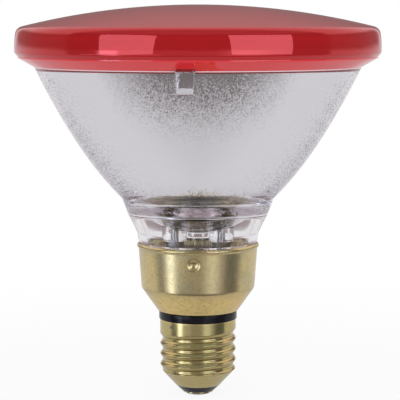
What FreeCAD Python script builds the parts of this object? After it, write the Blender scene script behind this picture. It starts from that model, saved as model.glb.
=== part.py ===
import FreeCAD, Part
import math
import os

import Sketcher

# Infrared heat lamp bulb: pressed glass reflector and red lens, brass skirt, screw cap.
# Millimetres, +Z up to the lens, origin at the bottom centre of the centre contact.
# The locating lug, one skirt dimple and the side lead's weld lie towards -Y.

Vector = FreeCAD.Vector
doc = FreeCAD.newDocument("heat_lamp_bulb")

drivingSizes = {
    # centre contact and black glass tip
    "solderHeight": 0.6,
    "solderRadius": 4.4,
    "solderRounding": 0.35,
    "solderPlugHeight": 0.5,
    "plateThickness": 0.4,
    "plateRadius": 5.2,
    "rivetRadius": 1.5,
    "rivetBore": 0.7,
    "rivetHeight": 3.6,
    "tipFootRadius": 5.5,
    "tipExposed": 2.15,
    "tipFill": 4.2,
    # screw shell
    "shellFootRadius": 7.8,
    "shellConeHeight": 5.75,
    "shellRadius": 13.05,
    "shellStraight": 17.3,
    "shellSheet": 0.3,
    "threadPitch": 3.629,
    "threadDepth": 0.9,
    "threadFloor": 0.8,
    "threadMouth": 2.6,
    "threadFirst": 2.59,
    "threadLength": 17.2,
    "weldDrop": 1.7,
    "weldRadius": 0.55,
    "weldProud": 0.08,
    "weldAzimuth": 40.0,
    # black glass ring between the shell and the skirt
    "ringHeight": 3.0,
    "ringOverhang": 0.35,
    "ringBore": 9.5,
    "ringSpigot": 0.9,
    "ringCapRadius": 12.8,
    "ringCapHeight": 1.4,
    # brass skirt
    "skirtSheet": 0.35,
    "skirtHoleRadius": 11.4,
    "skirtFootRadius": 13.8,
    "skirtConeHeight": 8.0,
    "skirtLowRadius": 19.4,
    "skirtWallHeight": 13.6,
    "skirtDraft": 0.95,
    "skirtKneeRounding": 2.4,
    "beadHeight": 1.8,
    "beadProud": 0.6,
    "dimpleDrop": 3.5,
    "dimpleBall": 2.5,
    "dimpleDepth": 1.0,
    "dimpleMargin": 0.2,
    "dimpleCount": 3,
    # glass reflector
    "skirtGap": 0.1,
    "grooveRoom": 0.25,
    "neckFootRise": 3.0,
    "neckSheet": 2.77,
    "lipRoom": 0.5,
    "neckRise": 3.7,
    "neckStep": 0.55,
    "waistRise": 5.9,
    "waistStep": 2.9,
    "kneeStep": 2.2,
    "kneeRounding": 2.5,
    "neckRounding": 5.0,
    "focalLength": 13.4,
    "bowlVertex": 2.8,
    "bowlWall": 5.0,
    "bowlFloorRadius": 5.0,
    "flangeWidth": 5.5,
    "flangeHeight": 3.54,
    "flangeEdge": 0.4,
    "cavityRise": 5.0,
    "cavityRadius": 9.5,
    "cavityShoulder": 2.6,
    "cavityDraft": 0.5,
    "lugTopWidth": 6.4,
    "lugFootWidth": 5.2,
    "lugSetback": 3.6,
    "lugHeight": 8.6,
    "lugDrop": 2.2,
    # glass lens
    "rimRadius": 62.0,
    "rimDraft": 0.7,
    "rimOverhang": 1.1,
    "rimChamfer": 1.3,
    "seatWidth": 3.9,
    "rimRounding": 2.3,
    "rimFootRounding": 1.2,
    "lensRise": 17.4,
    "domeBend": 245.0,
    "lensWall": 4.0,
    "lensSideWall": 3.5,
    "lensInnerRounding": 3.0,
    # filament, its leads and the seals in the glass floor
    "ferruleOffset": 8.0,
    "bossRadius": 4.3,
    "bossHeight": 4.4,
    "spigotHeight": 1.5,
    "ferruleBore": 3.0,
    "ferruleSheet": 0.3,
    "ferruleHeight": 5.0,
    "rodRadius": 0.9,
    "rodTail": 1.6,
    "rodHeadroom": 1.4,
    "rodHole": 1.5,
    "coilRadius": 1.25,
    "coilPitch": 1.6,
    "coilTurns": 8,
    "coilWire": 0.32,
    "legOverhang": 0.5,
    "legClearance": 0.02,
    "stemBossHeight": 1.4,
    "stemBossRadius": 3.4,
    "stemRadius": 2.3,
    "stemWall": 0.8,
    "stemLength": 9.0,
    "stemTip": 2.6,
    "wireRadius": 0.4,
    "wireBend": 3.0,
    "wireTurnDown": 5.0,
    "wireEndRise": 7.0,
    "wireRingGap": 2.5,
}

sheet = doc.addObject("Spreadsheet::Sheet", "sizes")
for row, (name, number) in enumerate(drivingSizes.items(), start=1):
    sheet.set(f"A{row}", name)
    sheet.set(f"B{row}", str(number))
    sheet.setAlias(f"B{row}", name)
doc.recompute()


def size(name):
    return "sizes." + name


def total(*terms):
    return " + ".join(terms)


def value(text):
    return float(sheet.evalExpression(text))


# heights over the contact, as sums of the pieces' own sizes
plateFoot = size("solderHeight")
plateTop = total(plateFoot, size("plateThickness"))
shellFoot = total(plateTop, size("tipExposed"))
shellShoulder = total(shellFoot, size("shellConeHeight"))
ringFoot = total(shellShoulder, size("shellStraight"))
ringTop = total(ringFoot, size("ringHeight"))
skirtKnee = total(ringTop, size("skirtConeHeight"))
skirtTop = total(skirtKnee, size("skirtWallHeight"))
skirtLip = total(skirtTop, size("beadHeight"))
dimpleCentre = f"{skirtTop} - sizes.dimpleDrop"
neckFoot = total(skirtKnee, size("neckFootRise"))
neckTop = total(skirtLip, size("neckRise"))
waist = total(neckTop, size("waistRise"))
bowlVertex = total(skirtLip, size("bowlVertex"))
mirrorVertex = total(bowlVertex, size("bowlWall"))
flangeRadius = "(sizes.rimRadius - sizes.rimOverhang)"
bowlRadius = f"({flangeRadius} - sizes.flangeWidth)"
bowlEdge = f"{bowlVertex} + {bowlRadius}^2 / (4 * sizes.focalLength)"
seam = total(bowlEdge, size("flangeHeight"))
cavityTop = total(skirtLip, size("cavityRise"))
bossFoot = f"{cavityTop} - sizes.bossHeight"
spigotFoot = f"{bossFoot} - sizes.spigotHeight"
ferruleFoot = f"{bossFoot} - sizes.ferruleHeight"
rodFoot = f"{ferruleFoot} - sizes.rodTail"
stemTop = f"{cavityTop} - sizes.stemBossHeight"
focus = total(mirrorVertex, size("focalLength"))
legHeight = f"{focus} - sizes.coilRadius"
mirrorFloor = f"{mirrorVertex} + sizes.bowlFloorRadius^2 / (4 * sizes.focalLength)"
domeTop = total(seam, size("lensRise"))


def skirtWall(height):
    """Outer radius of the skirt's drafted wall at a height."""
    draft = "sizes.skirtDraft / sizes.skirtWallHeight"
    return f"sizes.skirtLowRadius + {draft} * ({height} - ({skirtKnee}))"


def neckWall(height):
    """Outer radius of the glass neck inside the skirt at a height."""
    return f"{skirtWall(height)} - sizes.skirtSheet - sizes.skirtGap"


# radii of the skirt's top and of the glass neck that goes down into it
skirtTopRadius = "(sizes.skirtLowRadius + sizes.skirtDraft)"
neckBore = f"({neckWall(neckFoot)} - sizes.neckSheet)"
neckRadius = f"({skirtTopRadius} + sizes.neckStep)"
waistRadius = f"({neckRadius} + sizes.waistStep)"
kneeRadius = f"({waistRadius} + sizes.kneeStep)"
cavityTopRadius = f"({neckBore} + sizes.cavityDraft)"


def shellCone(height):
    """Outer radius of the screw shell's foot cone at a height."""
    slope = "(sizes.shellRadius - sizes.shellFootRadius) / sizes.shellConeHeight"
    return f"sizes.shellFootRadius + {slope} * ({height} - ({shellFoot}))"


def domeHeight(radius, top, bend):
    """Height of a shallow dome at a radius."""
    return f"{top} - ({bend}) + sqrt(({bend})^2 - ({radius})^2)"


def bowlAt(height, vertex):
    """Radius of one of the reflector's two paraboloids at a height."""
    return f"sqrt(4 * sizes.focalLength * ({height} - ({vertex})))"


# Bodies and sketches.
def newBody(label):
    body = doc.addObject("PartDesign::Body", label)
    body.Label = label
    return body


def originPlane(body, role):
    return next(item for item in body.Origin.OriginFeatures if item.Role == role)


def attach(sketch, body, role):
    sketch.AttachmentSupport = (originPlane(body, role), [""])
    sketch.MapMode = "FlatFace"


def bind(sketch, kind, geometry, point, text, name):
    """Hold one coordinate of a sketch point at the value of an expression."""
    place = sketch.addConstraint(
        Sketcher.Constraint(kind, -1, 1, geometry, point, value(text))
    )
    sketch.renameConstraint(place, name)
    sketch.setExpression("Constraints." + name, text)


class Line:
    """A straight edge to the next corner."""

    def draw(self, sketch, start, end, name):
        return sketch.addGeometry(Part.LineSegment(start, end)), 1, 2


class Bow:
    """A circular edge to the next corner; side 1 bulges right of the way there, -1 left."""

    def __init__(self, radius, side):
        self.radius = radius
        self.side = side

    def draw(self, sketch, start, end, name):
        radius = value(self.radius)
        chord = end - start
        across = Vector(chord.y, -chord.x, 0).normalize() * self.side
        sagitta = math.sqrt(radius ** 2 - (chord.Length / 2) ** 2)
        centre = (start + end) / 2 - across * sagitta
        angles = [math.atan2(p.y - centre.y, p.x - centre.x) for p in (start, end)]
        first, last = angles if self.side > 0 else reversed(angles)
        circle = Part.Circle(centre, Vector(0, 0, 1), radius)
        edge = sketch.addGeometry(Part.ArcOfCircle(circle, first, last))
        place = sketch.addConstraint(Sketcher.Constraint("Radius", edge, radius))
        sketch.renameConstraint(place, name + "Bend")
        sketch.setExpression("Constraints." + name + "Bend", self.radius)
        return (edge, 1, 2) if self.side > 0 else (edge, 2, 1)


class Parabola:
    """An edge on an upright parabola, which a curve of three control points draws exactly."""

    def __init__(self, vertex, ends):
        product = f"({ends[0]}) * ({ends[1]})"
        self.across = f"(({ends[0]}) + ({ends[1]})) / 2"
        self.up = f"{vertex} + {product} / (4 * sizes.focalLength)"

    def draw(self, sketch, start, end, name):
        middle = Vector(value(self.across), value(self.up), 0)
        curve = Part.BSplineCurve()
        curve.buildFromPolesMultsKnots([start, middle, end], [3, 3], [0, 1], False, 2)
        return sketch.addGeometry(curve), 1, 2

    def hold(self, sketch, edge, name):
        """Tie the middle control point, once every other edge has its number."""
        before = len(sketch.Geometry)
        sketch.exposeInternalGeometry(edge)
        added = range(before, len(sketch.Geometry))
        poles = [i for i in added if sketch.Geometry[i].TypeId == "Part::GeomCircle"]
        bind(sketch, "DistanceX", poles[1], 3, self.across, name + "PoleAcross")
        bind(sketch, "DistanceY", poles[1], 3, self.up, name + "PoleUp")


def profile(body, name, corners, role="XZ_Plane"):
    """A closed sketch through corners (across, up, edge to the next corner)."""
    sketch = body.newObject("Sketcher::SketchObject", name)
    attach(sketch, body, role)
    points = [Vector(value(corner[0]), value(corner[1]), 0) for corner in corners]
    edges = []
    for number, corner in enumerate(corners):
        edge = corner[2] if len(corner) > 2 else Line()
        end = points[(number + 1) % len(points)]
        edges.append((edge, edge.draw(sketch, points[number], end, f"edge{number}")))
    for number, (edge, (index, first, last)) in enumerate(edges):
        following = edges[(number + 1) % len(edges)][1]
        sketch.addConstraint(
            Sketcher.Constraint("Coincident", index, last, following[0], following[1])
        )
    for number, corner in enumerate(corners):
        index, first, last = edges[number][1]
        bind(sketch, "DistanceX", index, first, corner[0], f"across{number}")
        bind(sketch, "DistanceY", index, first, corner[1], f"up{number}")
    for number, (edge, (index, first, last)) in enumerate(edges):
        if isinstance(edge, Parabola):
            edge.hold(sketch, index, f"edge{number}")
    return sketch


def revolve(body, name, corners, kind="Revolution"):
    """A full turn of a profile about the vertical axis, added or cut (a Groove)."""
    sketch = profile(body, name + "_section", corners)
    feature = body.newObject("PartDesign::" + kind, name)
    feature.Profile = sketch
    feature.ReferenceAxis = (sketch, ["V_Axis"])
    feature.Angle = 360
    return feature


def place(item, x="0", y="0", z="0"):
    """Bind an object's position."""
    for letter, text in zip("xyz", (x, y, z)):
        if text != "0":
            item.setExpression("Placement.Base." + letter, text)


def cylinder(body, name, kind, radius, height, x="0", y="0", z="0"):
    """An upright cylinder that is added to or cut from a body."""
    feature = body.newObject(f"PartDesign::{kind}Cylinder", name)
    feature.setExpression("Radius", radius)
    feature.setExpression("Height", height)
    place(feature, x, y, z)
    return feature


def roundEdges(body, name, radius, circles):
    """Fillet the circular edges that lie at the given radii and heights."""
    doc.recompute()
    base = body.Tip
    wanted = [(value(across), value(up)) for across, up in circles]
    found = []
    for number, edge in enumerate(base.Shape.Edges, start=1):
        if edge.Degenerated or edge.Curve.TypeId != "Part::GeomCircle":
            continue
        for across, up in wanted:
            same = abs(edge.Curve.Radius - across) < 0.02
            if same and abs(edge.Curve.Center.z - up) < 0.02:
                found.append(f"Edge{number}")
    if len(found) < len(wanted):
        raise RuntimeError(f"{name}: {len(found)} of {len(wanted)} edges found")
    fillet = body.newObject("PartDesign::Fillet", name)
    fillet.Base = (base, found)
    fillet.setExpression("Radius", radius)
    return fillet


# Centre contact: a brass plate riveted through the black glass, under a flat bead of solder.
def contactPlate():
    body = newBody("contact_plate")
    top = total(plateTop, size("rivetHeight"))
    revolve(body, "plate", [
        (size("rivetBore"), plateFoot),
        (size("plateRadius"), plateFoot),
        (size("plateRadius"), plateTop),
        (size("rivetRadius"), plateTop),
        (size("rivetRadius"), top),
        (size("rivetBore"), top),
    ])
    return body


def contactSolder():
    body = newBody("contact_solder")
    plugTop = total(plateFoot, size("solderPlugHeight"))
    revolve(body, "bead", [
        ("0", "0"),
        (size("solderRadius"), "0"),
        (size("solderRadius"), plateFoot),
        (size("rivetBore"), plateFoot),
        (size("rivetBore"), plugTop),
        ("0", plugTop),
    ])
    roundEdges(body, "rounding", size("solderRounding"), [(size("solderRadius"), "0")])
    return body


# Black glass tip: a cone below the shell's foot and a fill inside it.
def tipInsulator():
    body = newBody("tip_insulator")
    fillTop = total(shellFoot, size("tipFill"))
    revolve(body, "fill", [
        (size("rivetRadius"), plateTop),
        (size("tipFootRadius"), plateTop),
        (size("shellFootRadius"), shellFoot),
        (f"{shellCone(shellFoot)} - sizes.shellSheet", shellFoot),
        (f"{shellCone(fillTop)} - sizes.shellSheet", fillTop),
        (size("rivetRadius"), fillTop),
    ])
    return body


# Screw shell: one sheet of brass, so the thread shows inside as well as outside.
def shellForm(label, setback):
    """The shell's outer form, or with the sheet's thickness as setback its hollow."""
    body = newBody(label)
    wall = f"sizes.shellRadius - {setback}"
    revolve(body, label + "_blank", [
        ("0", shellFoot),
        (f"sizes.shellFootRadius - {setback}", shellFoot),
        (wall, shellShoulder),
        (wall, ringFoot),
        ("0", ringFoot),
    ])
    middle = total(shellFoot, size("threadFirst"))
    floor = f"{wall} - sizes.threadDepth"
    outside = f"{wall} + sizes.threadDepth / 2"
    floorHalf = size("threadFloor") + " / 2"
    mouthHalf = f"({floorHalf} + 1.5 * (sizes.threadMouth - sizes.threadFloor) / 2)"
    tooth = profile(body, label + "_tooth", [
        (floor, f"{middle} - {floorHalf}"),
        (outside, f"{middle} - {mouthHalf}"),
        (outside, f"{middle} + {mouthHalf}"),
        (floor, f"{middle} + {floorHalf}"),
    ])
    thread = body.newObject("PartDesign::SubtractiveHelix", label + "_thread")
    thread.Profile = tooth
    thread.ReferenceAxis = (tooth, ["V_Axis"])
    thread.Mode = "pitch-height-angle"
    thread.setExpression("Pitch", size("threadPitch"))
    thread.setExpression("Height", size("threadLength"))
    thread.LeftHanded = False
    thread.Reversed = False
    return body


def screwShell():
    outer = shellForm("shell_outer", "0")
    hollow = shellForm("shell_hollow", size("shellSheet"))
    sheetMetal = doc.addObject("Part::Cut", "shell_sheet")
    sheetMetal.Base = outer
    sheetMetal.Tool = hollow
    hole = doc.addObject("Part::Cylinder", "weld_hole")
    hole.setExpression("Radius", size("weldRadius"))
    hole.setExpression("Height", size("shellRadius"))
    layAtWeld(hole)
    shell = doc.addObject("Part::Cut", "screw_shell")
    shell.Base = sheetMetal
    shell.Tool = hole
    return shell


def weldDirection():
    azimuth = math.radians(value(size("weldAzimuth")))
    return Vector(-math.sin(azimuth), -math.cos(azimuth), 0)


weldHeight = f"{ringFoot} - sizes.weldDrop"


def layAtWeld(item, out="0"):
    """Turn an upright cylinder outwards at the side weld."""
    start = weldDirection() * value(out)
    turn = FreeCAD.Rotation(Vector(0, 0, 1), weldDirection())
    item.Placement = FreeCAD.Placement(start + Vector(0, 0, value(weldHeight)), turn)
    item.setExpression("Placement.Base.z", weldHeight)


def sideSolder():
    """The weld that fills the shell's hole at the end of the side wire."""
    weld = doc.addObject("Part::Cylinder", "side_solder")
    weld.setExpression("Radius", size("weldRadius"))
    weld.setExpression("Height", "sizes.shellSheet + sizes.weldProud")
    layAtWeld(weld, "sizes.shellRadius - sizes.shellSheet")
    return weld


# Black glass ring, moulded round the shell's top edge and the skirt's floor.
def insulatingRing():
    body = newBody("insulating_ring")
    spigotFoot = f"{ringFoot} - sizes.ringSpigot"
    spigotRadius = "sizes.shellRadius - sizes.shellSheet"
    outside = total(size("shellRadius"), size("ringOverhang"))
    skirtFloor = total(ringTop, size("skirtSheet"))
    capTop = total(skirtFloor, size("ringCapHeight"))
    revolve(body, "ring", [
        (size("ringBore"), spigotFoot),
        (spigotRadius, spigotFoot),
        (spigotRadius, ringFoot),
        (outside, ringFoot),
        (outside, ringTop),
        (size("skirtHoleRadius"), ringTop),
        (size("skirtHoleRadius"), skirtFloor),
        (size("ringCapRadius"), skirtFloor),
        (size("ringCapRadius"), capTop),
        (size("ringBore"), capTop),
    ])
    return body


# Skirt: drawn brass sheet with a rolled bead and three dimples that hold the glass.
def skirt():
    body = newBody("skirt")
    floorTop = total(ringTop, size("skirtSheet"))
    innerRadius = f"{skirtTopRadius} - sizes.skirtSheet"
    revolve(body, "drawn_sheet", [
        (size("skirtHoleRadius"), ringTop),
        (size("skirtFootRadius"), ringTop),
        (size("skirtLowRadius"), skirtKnee),
        (skirtTopRadius, skirtTop),
        (innerRadius, skirtTop),
        ("sizes.skirtLowRadius - sizes.skirtSheet", skirtKnee),
        ("sizes.skirtFootRadius - sizes.skirtSheet", floorTop),
        (size("skirtHoleRadius"), floorTop),
    ])
    knee = [
        (size("skirtLowRadius"), skirtKnee),
        ("sizes.skirtLowRadius - sizes.skirtSheet", skirtKnee),
    ]
    roundEdges(body, "knee_rounding", size("skirtKneeRounding"), knee)
    dimples(body)
    beadMiddle = f"{skirtTop} + sizes.beadHeight / 2"
    bend = "((sizes.beadHeight / 2)^2 + sizes.beadProud^2) / (2 * sizes.beadProud)"
    innerBend = f"{bend} - sizes.skirtSheet"
    innerReach = f"{innerBend} - sizes.beadProud"
    innerHalf = f"sqrt(({innerBend})^2 - ({innerReach})^2)"
    revolve(body, "bead", [
        (innerRadius, skirtTop),
        (skirtTopRadius, skirtTop, Bow(bend, 1)),
        (skirtTopRadius, skirtLip),
        (innerRadius, skirtLip),
        (innerRadius, f"{beadMiddle} + {innerHalf}", Bow(innerBend, -1)),
        (innerRadius, f"{beadMiddle} - {innerHalf}"),
    ])
    return body


def dimples(body):
    """Ball-shaped dents pressed into the skirt, equally spaced, the first towards -Y."""
    ballOffset = f"{skirtWall(dimpleCentre)} - sizes.dimpleDepth + sizes.dimpleBall"
    backBall = total(size("dimpleBall"), size("skirtSheet"))
    repeatedBall(body, "dimple_back", "Additive", backBall, ballOffset)
    low = f"{dimpleCentre} - ({backBall}) - sizes.dimpleMargin"
    high = f"{dimpleCentre} + {backBall} + sizes.dimpleMargin"
    outside = f"{ballOffset} + {backBall} + sizes.dimpleMargin"
    revolve(body, "wall_face", [
        (skirtWall(low), low),
        (outside, low),
        (outside, high),
        (skirtWall(high), high),
    ], kind="Groove")
    repeatedBall(body, "dimple_face", "Subtractive", size("dimpleBall"), ballOffset)


def repeatedBall(body, name, kind, radius, offset):
    """The same ball at every dimple, added to the skirt or cut from it."""
    ball = body.newObject(f"PartDesign::{kind}Sphere", name)
    ball.setExpression("Radius", radius)
    poleOutwards = FreeCAD.Rotation(Vector(1, 0, 0), 90)
    ball.Placement = FreeCAD.Placement(Vector(), poleOutwards)
    place(ball, y=f"-({offset})", z=dimpleCentre)
    repeat = body.newObject("PartDesign::PolarPattern", name + "s")
    repeat.Originals = [ball]
    repeat.Axis = (originPlane(body, "Z_Axis"), [""])
    repeat.Angle = 360
    repeat.setExpression("Occurrences", size("dimpleCount"))
    body.Tip = repeat


# Glass reflector: bowl, flange, locating lug, and the hollow neck with its sealing bosses.
def reflector():
    body = newBody("reflector")
    ballReach = "sizes.dimpleBall - sizes.dimpleDepth + sizes.skirtSheet + sizes.skirtGap"
    backBall = total(size("dimpleBall"), size("skirtSheet"))
    mouthHalf = f"(sqrt(({backBall})^2 - ({ballReach})^2) + sizes.grooveRoom)"
    grooveFloor = f"{neckWall(dimpleCentre)} - sizes.dimpleDepth"
    kneeHeight = f"{bowlVertex} + {kneeRadius}^2 / (4 * sizes.focalLength)"
    cavityCorner = total(cavityTop, size("cavityShoulder"))
    lowMouth = f"{dimpleCentre} - {mouthHalf}"
    highMouth = f"{dimpleCentre} + {mouthHalf}"
    mirrorEdge = bowlAt(seam, mirrorVertex)
    outerCurve = Parabola(bowlVertex, (kneeRadius, bowlRadius))
    innerCurve = Parabola(mirrorVertex, (mirrorEdge, size("bowlFloorRadius")))
    corners = [
        ("0", cavityTop),
        (size("cavityRadius"), cavityTop),
        (cavityTopRadius, cavityCorner),
        (neckBore, neckFoot),
        (neckWall(neckFoot), neckFoot),
        (neckWall(lowMouth), lowMouth),
        (grooveFloor, f"{dimpleCentre} - {mouthHalf} / 2"),
        (grooveFloor, f"{dimpleCentre} + {mouthHalf} / 2"),
        (neckWall(highMouth), highMouth),
        (neckWall(skirtTop), skirtTop),
        (neckWall(skirtTop), skirtLip),
        (skirtTopRadius, f"{skirtLip} + sizes.lipRoom"),
        (neckRadius, neckTop),
        (waistRadius, waist),
        (kneeRadius, kneeHeight, outerCurve),
        (bowlRadius, bowlEdge),
        (flangeRadius, f"{seam} - sizes.flangeEdge"),
        (flangeRadius, seam),
        (mirrorEdge, seam, innerCurve),
        (size("bowlFloorRadius"), mirrorFloor),
        ("0", mirrorFloor),
    ]
    revolve(body, "pressed_glass", corners)
    roundEdges(body, "knee", size("kneeRounding"), [(kneeRadius, kneeHeight)])
    neckEdges = [(neckRadius, neckTop), (waistRadius, waist)]
    roundEdges(body, "neck", size("neckRounding"), neckEdges)
    locatingLug(body)
    for side, name in ((-1, "left"), (1, "right")):
        across = f"{side} * sizes.ferruleOffset"
        cylinder(body, f"boss_{name}", "Additive", size("bossRadius"),
                 f"sizes.bossHeight + sizes.cavityShoulder / 2", x=across, z=bossFoot)
        cylinder(body, f"spigot_{name}", "Additive", size("ferruleBore"),
                 size("spigotHeight"), x=across, z=spigotFoot)
        cylinder(body, f"rod_hole_{name}", "Subtractive", size("rodHole"),
                 f"{legHeight} - ({spigotFoot})", x=across, z=spigotFoot)
    cylinder(body, "stem_boss", "Additive", size("stemBossRadius"),
             f"sizes.stemBossHeight + sizes.cavityShoulder / 2", z=stemTop)
    cylinder(body, "stem_hole", "Subtractive", "sizes.stemRadius - sizes.stemWall",
             f"{mirrorFloor} - ({stemTop}) + 1", z=stemTop)
    return body


def locatingLug(body):
    """A tapered block of the same glass under the flange, towards -Y."""
    top = f"{seam} - sizes.lugDrop"
    foot = f"{top} - sizes.lugHeight"
    ends = []
    for name, height, width in (("top", top, "lugTopWidth"), ("foot", foot, "lugFootWidth")):
        outer = bowlAt(height, bowlVertex)
        inner = bowlAt(height, mirrorVertex)
        rootRadius = f"({outer} + {inner}) / 2"
        half = size(width) + " / 2"
        section = profile(body, f"lug_{name}", [
            (f"-{half}", f"-({rootRadius})"),
            (f"-{half}", f"-({flangeRadius} - sizes.lugSetback)"),
            (half, f"-({flangeRadius} - sizes.lugSetback)"),
            (half, f"-({rootRadius})"),
        ], role="XY_Plane")
        section.setExpression("AttachmentOffset.Base.z", height)
        ends.append(section)
    lug = body.newObject("PartDesign::AdditiveLoft", "lug")
    lug.Profile = ends[0]
    lug.Sections = [ends[1]]
    lug.Ruled = True
    return lug


# Red glass lens, fused to the reflector's flange.
def lens():
    body = newBody("lens")
    innerTop = f"{domeTop} - sizes.lensWall"
    innerBend = "sizes.domeBend - sizes.lensWall"
    rimTop = "(sizes.rimRadius - sizes.rimDraft)"
    shoulder = domeHeight(rimTop, domeTop, size("domeBend"))
    innerWall = f"({rimTop} - sizes.lensSideWall)"
    setback = "0.8 * sizes.lensInnerRounding"
    cornerRadius = f"{innerWall} - {setback}"
    cornerTop = domeHeight(cornerRadius, innerTop, innerBend)
    cornerFoot = f"{cornerTop} - {setback}"
    rimFoot = total(seam, size("rimChamfer"))
    revolve(body, "dome", [
        (f"{flangeRadius} - sizes.seatWidth", seam),
        (flangeRadius, seam),
        (size("rimRadius"), rimFoot),
        (rimTop, shoulder, Bow(size("domeBend"), 1)),
        ("0", domeTop),
        ("0", innerTop, Bow(innerBend, -1)),
        (cornerRadius, cornerTop, Bow(size("lensInnerRounding"), -1)),
        (innerWall, cornerFoot),
    ])
    roundEdges(body, "rim", size("rimRounding"), [(rimTop, shoulder)])
    roundEdges(body, "rim_foot", size("rimFootRounding"), [(size("rimRadius"), rimFoot)])
    return body


# Seals and leads: two metal cups on the bosses, a rod through each, and the filament.
def ferrule(side, name):
    body = newBody("ferrule_" + name)
    cupFloor = total(ferruleFoot, size("ferruleSheet"))
    outside = total(size("ferruleBore"), size("ferruleSheet"))
    revolve(body, "cup_" + name, [
        (size("rodRadius"), ferruleFoot),
        (outside, ferruleFoot),
        (outside, bossFoot),
        (size("ferruleBore"), bossFoot),
        (size("ferruleBore"), cupFloor),
        (size("rodRadius"), cupFloor),
    ])
    place(body, x=f"{side} * sizes.ferruleOffset")
    return body


def leadRod(side, name):
    body = newBody("lead_rod_" + name)
    length = f"{legHeight} + sizes.rodHeadroom - ({rodFoot})"
    cylinder(body, "rod_" + name, "Additive", size("rodRadius"), length, z=rodFoot)
    legHole = cylinder(body, "leg_hole_" + name, "Subtractive",
                       "sizes.coilWire + sizes.legClearance", "4 * sizes.rodRadius")
    legHole.Placement = FreeCAD.Placement(Vector(), FreeCAD.Rotation(Vector(0, 1, 0), 90))
    place(legHole, x="-2 * sizes.rodRadius", z=legHeight)
    place(body, x=f"{side} * sizes.ferruleOffset")
    return body


def filament():
    """A coil along X through the focus, with a straight leg at each end."""
    body = newBody("filament")
    half = "sizes.coilTurns * sizes.coilPitch / 2"
    corners = []
    for number in range(6):
        corners.append((
            f"sizes.coilRadius + sizes.coilWire * cos({60 * number} deg)",
            f"sizes.coilWire * sin({60 * number} deg) - {half}",
        ))
    wire = profile(body, "wire_section", corners)
    coil = body.newObject("PartDesign::AdditiveHelix", "coil")
    coil.Profile = wire
    coil.ReferenceAxis = (wire, ["V_Axis"])
    coil.Mode = "pitch-turns-angle"
    coil.setExpression("Pitch", size("coilPitch"))
    coil.setExpression("Turns", size("coilTurns"))
    reach = "sizes.ferruleOffset + sizes.rodRadius + sizes.legOverhang"
    for name, start in (("left", f"-({reach})"), ("right", half)):
        leg = body.newObject("PartDesign::AdditivePrism", "leg_" + name)
        leg.Polygon = 6
        leg.setExpression("Circumradius", size("coilWire"))
        leg.setExpression("Height", f"{reach} - {half}")
        place(leg, x=size("coilRadius"), z=start)
    turn = FreeCAD.Rotation(Vector(0, 1, 0), 90)
    body.Placement = FreeCAD.Placement(Vector(), turn)
    place(body, z=focus)
    return body


def exhaustTube():
    """The stem that the lamp was filled through, melted shut at its tip."""
    body = newBody("exhaust_tube")
    foot = f"{stemTop} - sizes.stemLength"
    shoulder = f"{foot} + sizes.stemTip"
    bore = "sizes.stemRadius - sizes.stemWall"
    revolve(body, "stem", [
        ("0", foot),
        (size("stemWall"), foot),
        (size("stemRadius"), shoulder),
        (size("stemRadius"), stemTop),
        (bore, stemTop),
        (bore, shoulder),
        ("0", f"{foot} + 2 * sizes.stemWall"),
    ])
    return body


def bentWire(label, points):
    """A round wire along straight runs that are joined by tangent arcs."""
    bend = value(size("wireBend"))
    edges = []
    start = points[0]
    for before, corner, after in zip(points, points[1:], points[2:]):
        arriving = (corner - before).normalize()
        leaving = (after - corner).normalize()
        halfTurn = arriving.getAngle(leaving) / 2
        reach = bend * math.tan(halfTurn)
        first = corner - arriving * reach
        last = corner + leaving * reach
        towards = (leaving - arriving).normalize()
        middle = corner + towards * (bend / math.cos(halfTurn) - bend)
        edges.append(Part.makeLine(start, first))
        edges.append(Part.Arc(first, middle, last).toShape())
        start = last
    edges.append(Part.makeLine(start, points[-1]))
    path = Part.Wire(edges)
    ring = Part.makeCircle(value(size("wireRadius")), points[0], points[1] - points[0])
    wire = doc.addObject("Part::Feature", label)
    wire.Shape = path.makePipeShell([Part.Wire(ring)], True, False)
    return wire


def centreWire():
    across = value(size("ferruleOffset"))
    top = value(rodFoot)
    bendTop = top - value(size("wireTurnDown"))
    plugTop = value(plateFoot) + value(size("solderPlugHeight"))
    return bentWire("centre_wire", [
        Vector(across, 0, top),
        Vector(across, 0, bendTop),
        Vector(0, 0, bendTop - across),
        Vector(0, 0, plugTop),
    ])


def sideWire():
    across = value(size("ferruleOffset"))
    top = value(rodFoot)
    weld = value(weldHeight)
    out = weldDirection()
    inner = value(size("ringBore")) - value(size("wireRingGap"))
    return bentWire("side_wire", [
        Vector(-across, 0, top),
        Vector(-across, 0, top - value(size("wireTurnDown"))),
        out * inner + Vector(0, 0, weld + value(size("wireEndRise"))),
        out * inner + Vector(0, 0, weld),
        out * (value(size("shellRadius")) - value(size("shellSheet"))) + Vector(0, 0, weld),
    ])


parts = [
    contactPlate(),
    contactSolder(),
    tipInsulator(),
    screwShell(),
    sideSolder(),
    insulatingRing(),
    skirt(),
    reflector(),
    lens(),
    ferrule(-1, "left"),
    ferrule(1, "right"),
    leadRod(-1, "left"),
    leadRod(1, "right"),
    filament(),
    exhaustTube(),
    centreWire(),
    sideWire(),
]

doc.recompute()
for item in doc.Objects:
    if "Invalid" in item.State or "Error" in item.State:
        raise RuntimeError(f"{item.Label} did not compute: {item.State}")

os.makedirs("parts", exist_ok=True)
for part in parts:
    shape = part.Shape
    if shape.isNull() or not shape.isValid():
        raise RuntimeError(f"{part.Label} has no valid shape")
    shape.exportStep(f"parts/{part.Label}.step")
    print(part.Label, len(shape.Solids), "solid", round(shape.Volume), "mm3")
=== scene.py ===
import math

import bmesh
import bpy
from mathutils import Matrix, Vector


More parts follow.
